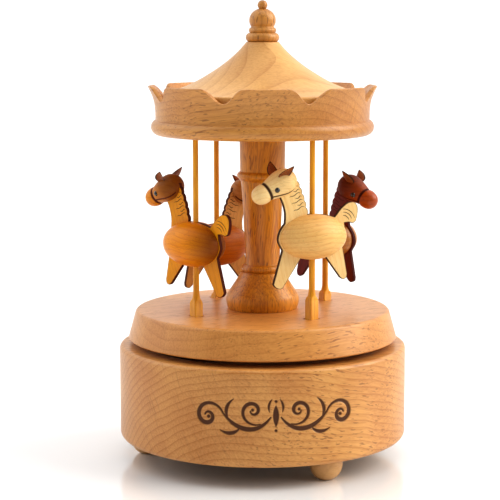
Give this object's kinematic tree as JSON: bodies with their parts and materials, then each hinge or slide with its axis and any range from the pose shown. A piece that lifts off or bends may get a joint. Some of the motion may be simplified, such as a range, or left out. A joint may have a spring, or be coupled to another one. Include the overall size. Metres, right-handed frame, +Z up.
{
  "type": "carousel music box",
  "caption": "Round wooden wind-up music box: a drum base on feet with a musical movement, and a turntable with column, canopy and horses that rise and fall on poles.",
  "frame": {"origin": "on the ground, under the drum's axis", "axes": "+Z up along the drum's axis, -Y towards the side with the engraved ornament, +X to the viewer's right"},
  "size_m": [0.11, 0.11, 0.1745],
  "materials": {
    "beech_drum": "satin",
    "beech_cam": "raw",
    "plywood": "raw",
    "foot_maple": "satin",
    "cast_zinc": "cast",
    "steel": "bright",
    "spring_steel": "blued",
    "brass": "bright",
    "beech_turntable": "satin",
    "beech_column": "satin",
    "beech_canopy": "satin",
    "beech_roof": "satin",
    "beech_finial": "satin",
    "natural_plate": "raw",
    "natural_egg": "satin",
    "natural_head": "satin",
    "honey_plate": "stained",
    "honey_egg": "stained",
    "honey_head": "stained",
    "tan_plate": "stained",
    "tan_egg": "stained",
    "tan_head": "stained",
    "dark_plate": "stained",
    "dark_egg": "stained",
    "dark_head": "stained",
    "ear_leather": "matt",
    "eye_black": "gloss",
    "pole_yellow": "satin"
  },
  "bodies": {
    "base": {"base_drum": "beech_drum", "cam_ring": "beech_cam", "bottom_board": "plywood", "foot_front_right": "foot_maple", "foot_back_right": "foot_maple", "foot_left": "foot_maple", "movement_bedplate": "cast_zinc", "movement_screws": "steel", "cylinder_bearings": "steel", "note_comb": "spring_steel", "comb_screws": "steel", "governor_bridge": "brass"},
    "turntable": {"turntable_plate": "beech_turntable", "drive_boss": "brass", "centre_column": "beech_column", "canopy_crown": "beech_canopy", "roof_cone": "beech_roof", "finial": "beech_finial", "output_shaft": "steel", "spring_barrel": "brass", "mainspring": "spring_steel"},
    "key": {"winding_key": "steel", "winding_arbor": "steel"},
    "cylinder": {"pinned_cylinder": "brass", "cylinder_arbor": "steel"},
    "step": {"step_wheel": "brass"},
    "fan": {"air_brake": "brass"},
    "horse_front_right": {"horse_front_right_plate": "natural_plate", "horse_front_right_belly_outer": "natural_egg", "horse_front_right_belly_inner": "natural_egg", "horse_front_right_head": "natural_head", "horse_front_right_ears": "ear_leather", "horse_front_right_eyes": "eye_black", "pole_front_right_rod": "pole_yellow", "pole_front_right_socket": "pole_yellow"},
    "horse_front_left": {"horse_front_left_plate": "honey_plate", "horse_front_left_belly_outer": "honey_egg", "horse_front_left_belly_inner": "honey_egg", "horse_front_left_head": "honey_head", "horse_front_left_ears": "ear_leather", "horse_front_left_eyes": "eye_black", "pole_front_left_rod": "pole_yellow", "pole_front_left_socket": "pole_yellow"},
    "horse_back_left": {"horse_back_left_plate": "tan_plate", "horse_back_left_belly_outer": "tan_egg", "horse_back_left_belly_inner": "tan_egg", "horse_back_left_head": "tan_head", "horse_back_left_ears": "ear_leather", "horse_back_left_eyes": "eye_black", "pole_back_left_rod": "pole_yellow", "pole_back_left_socket": "pole_yellow"},
    "horse_back_right": {"horse_back_right_plate": "dark_plate", "horse_back_right_belly_outer": "dark_egg", "horse_back_right_belly_inner": "dark_egg", "horse_back_right_head": "dark_head", "horse_back_right_ears": "ear_leather", "horse_back_right_eyes": "eye_black", "pole_back_right_rod": "pole_yellow", "pole_back_right_socket": "pole_yellow"}
  },
  "joints": [
    {"name": "turntable_spin", "type": "hinge", "parent": "base", "child": "turntable", "pos_m": [0, 0, 0.046], "axis": [0, 0, 1], "continuous": true},
    {"name": "front_right_slide", "type": "slide", "parent": "turntable", "child": "horse_front_right", "axis": [0, 0, 1], "range_m": [-0.00698, 0.00022]},
    {"name": "front_left_slide", "type": "slide", "parent": "turntable", "child": "horse_front_left", "axis": [0, 0, 1], "range_m": [-0.00483, 0.00237]},
    {"name": "back_left_slide", "type": "slide", "parent": "turntable", "child": "horse_back_left", "axis": [0, 0, 1], "range_m": [-0.00022, 0.00698]},
    {"name": "back_right_slide", "type": "slide", "parent": "turntable", "child": "horse_back_right", "axis": [0, 0, 1], "range_m": [-0.00237, 0.00483]},
    {"name": "key_wind", "type": "hinge", "parent": "base", "child": "key", "pos_m": [0, 0, 0.012], "axis": [0, 0, 1], "continuous": true},
    {"name": "cylinder_spin", "type": "hinge", "parent": "base", "child": "cylinder", "pos_m": [0.027, 0, 0.0264], "axis": [1, 0, 0], "continuous": true},
    {"name": "step_spin", "type": "hinge", "parent": "base", "child": "step", "pos_m": [-0.01597, -0.00581, 0.02], "axis": [0, 0, 1], "continuous": true},
    {"name": "fan_spin", "type": "hinge", "parent": "base", "child": "fan", "pos_m": [-0.01187, -0.01709, 0.024], "axis": [0, 0, 1], "continuous": true}
  ],
  "couplings": [
    {"joint": "cylinder_spin", "follows": "turntable_spin", "ratio": 2.5455},
    {"joint": "step_spin", "follows": "turntable_spin", "ratio": -7.5},
    {"joint": "fan_spin", "follows": "turntable_spin", "ratio": 37.5}
  ]
}
